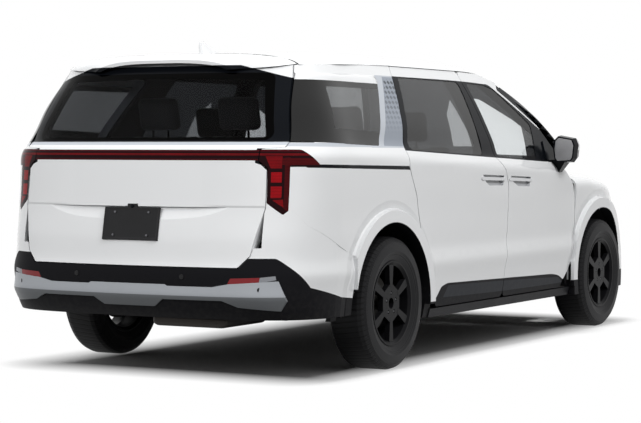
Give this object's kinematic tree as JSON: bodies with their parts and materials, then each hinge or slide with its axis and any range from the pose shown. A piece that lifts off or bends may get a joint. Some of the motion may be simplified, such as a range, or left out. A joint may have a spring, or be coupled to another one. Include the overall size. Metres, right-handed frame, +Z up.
{
  "type": "minivan",
  "caption": "White minivan with sliding side doors, lifting tailgate, full-width tail lamp, hollow cabin with seat rows, steered front wheels and opening doors.",
  "frame": {"origin": "on the ground under the middle of the vehicle's length and width", "axes": "+X forward, +Y to the vehicle's left, +Z up"},
  "size_m": [5.1637, 2.2542, 1.7895],
  "materials": {
    "bare_steel": "dull steel",
    "black_alloy": "satin black wheel",
    "black_plastic": "grained black plastic",
    "cast_metal": "cast metal",
    "clear_glass": "tinted clear glass",
    "dark_glass": "dark privacy glass",
    "dark_paint": "dark inner paint",
    "gloss_black": "gloss black",
    "lamp_lens": "clear lamp lens",
    "red_lens": "red lamp lens",
    "seat_cloth": "dark seat cloth",
    "silver_trim": "satin silver paint",
    "tyre_rubber": "black rubber",
    "white_paint": "gloss white paint"
  },
  "bodies": {
    "root": {"body_side_left": "white_paint", "body_side_right": "white_paint", "dashboard": "black_plastic", "door_hinges": "dark_paint", "engine_block": "cast_metal", "exhaust": "bare_steel", "floor_pan": "dark_paint", "front_bumper": "white_paint", "front_fenders": "white_paint", "front_grille": "gloss_black", "front_header": "dark_paint", "front_seats": "seat_cloth", "front_suspension": "cast_metal", "fuel_tank": "black_plastic", "headlamps": "lamp_lens", "inner_frame_left": "dark_paint", "inner_frame_right": "dark_paint", "quarter_glass": "dark_glass", "rear_bumper": "white_paint", "rear_seats": "seat_cloth", "rear_skid_plate": "silver_trim", "rear_suspension": "cast_metal", "roof_panel": "white_paint", "sill_trims": "black_plastic", "sliding_door_glass": "dark_glass", "sliding_door_left": "white_paint", "sliding_door_right": "white_paint", "tail_lamps": "red_lens", "wheel_arch_liners": "black_plastic", "windscreen": "clear_glass", "windscreen_pillars": "white_paint"},
    "hood": {"hood": "white_paint"},
    "tailgate": {"tailgate": "white_paint", "tailgate_glass": "dark_glass", "tailgate_lamp": "red_lens"},
    "front_door_left": {"front_door_left": "white_paint", "front_door_glass_left": "clear_glass", "mirror_left": "gloss_black"},
    "front_knuckle_left": {"front_knuckle_left": "cast_metal"},
    "front_wheel_left": {"rim_front_left": "black_alloy", "tyre_front_left": "tyre_rubber"},
    "rear_wheel_left": {"rim_rear_left": "black_alloy", "tyre_rear_left": "tyre_rubber"},
    "front_door_right": {"front_door_right": "white_paint", "front_door_glass_right": "clear_glass", "mirror_right": "gloss_black"},
    "front_knuckle_right": {"front_knuckle_right": "cast_metal"},
    "front_wheel_right": {"rim_front_right": "black_alloy", "tyre_front_right": "tyre_rubber"},
    "rear_wheel_right": {"rim_rear_right": "black_alloy", "tyre_rear_right": "tyre_rubber"},
    "steering_wheel": {"steering_wheel": "black_plastic"}
  },
  "joints": [
    {"name": "front_wheel_left_spin", "type": "hinge", "parent": "front_knuckle_left", "child": "front_wheel_left", "pos_m": [1.6425, 0.872, 0.362], "axis": [0, 1, 0], "continuous": true},
    {"name": "rear_wheel_left_spin", "type": "hinge", "parent": "root", "child": "rear_wheel_left", "pos_m": [-1.4475, 0.872, 0.362], "axis": [0, 1, 0], "continuous": true},
    {"name": "steer_left", "type": "hinge", "parent": "root", "child": "front_knuckle_left", "pos_m": [1.6425, 0.792, 0.362], "axis": [0, 0, 1], "range_deg": [-33, 33]},
    {"name": "front_door_left_hinge", "type": "hinge", "parent": "root", "child": "front_door_left", "pos_m": [1.09, 0.935, 0.7], "axis": [0, 0, 1], "range_deg": [-65, 0]},
    {"name": "front_wheel_right_spin", "type": "hinge", "parent": "front_knuckle_right", "child": "front_wheel_right", "pos_m": [1.6425, -0.872, 0.362], "axis": [0, 1, 0], "continuous": true},
    {"name": "rear_wheel_right_spin", "type": "hinge", "parent": "root", "child": "rear_wheel_right", "pos_m": [-1.4475, -0.872, 0.362], "axis": [0, 1, 0], "continuous": true},
    {"name": "steer_right", "type": "hinge", "parent": "root", "child": "front_knuckle_right", "pos_m": [1.6425, -0.792, 0.362], "axis": [0, 0, 1], "range_deg": [-33, 33]},
    {"name": "front_door_right_hinge", "type": "hinge", "parent": "root", "child": "front_door_right", "pos_m": [1.09, -0.935, 0.7], "axis": [0, 0, 1], "range_deg": [0, 65]},
    {"name": "hood_hinge", "type": "hinge", "parent": "root", "child": "hood", "pos_m": [1.5, 0, 1.072], "axis": [0, -1, 0], "range_deg": [0, 48]},
    {"name": "tailgate_hinge", "type": "hinge", "parent": "root", "child": "tailgate", "pos_m": [-2.06, 0, 1.702], "axis": [0, 1, 0], "range_deg": [0, 76]},
    {"name": "steering_wheel_turn", "type": "hinge", "parent": "root", "child": "steering_wheel", "pos_m": [0.86, 0.4, 1.01], "axis": [-0.8988, 0, 0.4384], "range_deg": [-495, 495]}
  ],
  "couplings": [
    {"joint": "steer_right", "follows": "steer_left", "ratio": 1},
    {"joint": "steering_wheel_turn", "follows": "steer_left", "ratio": 15}
  ]
}
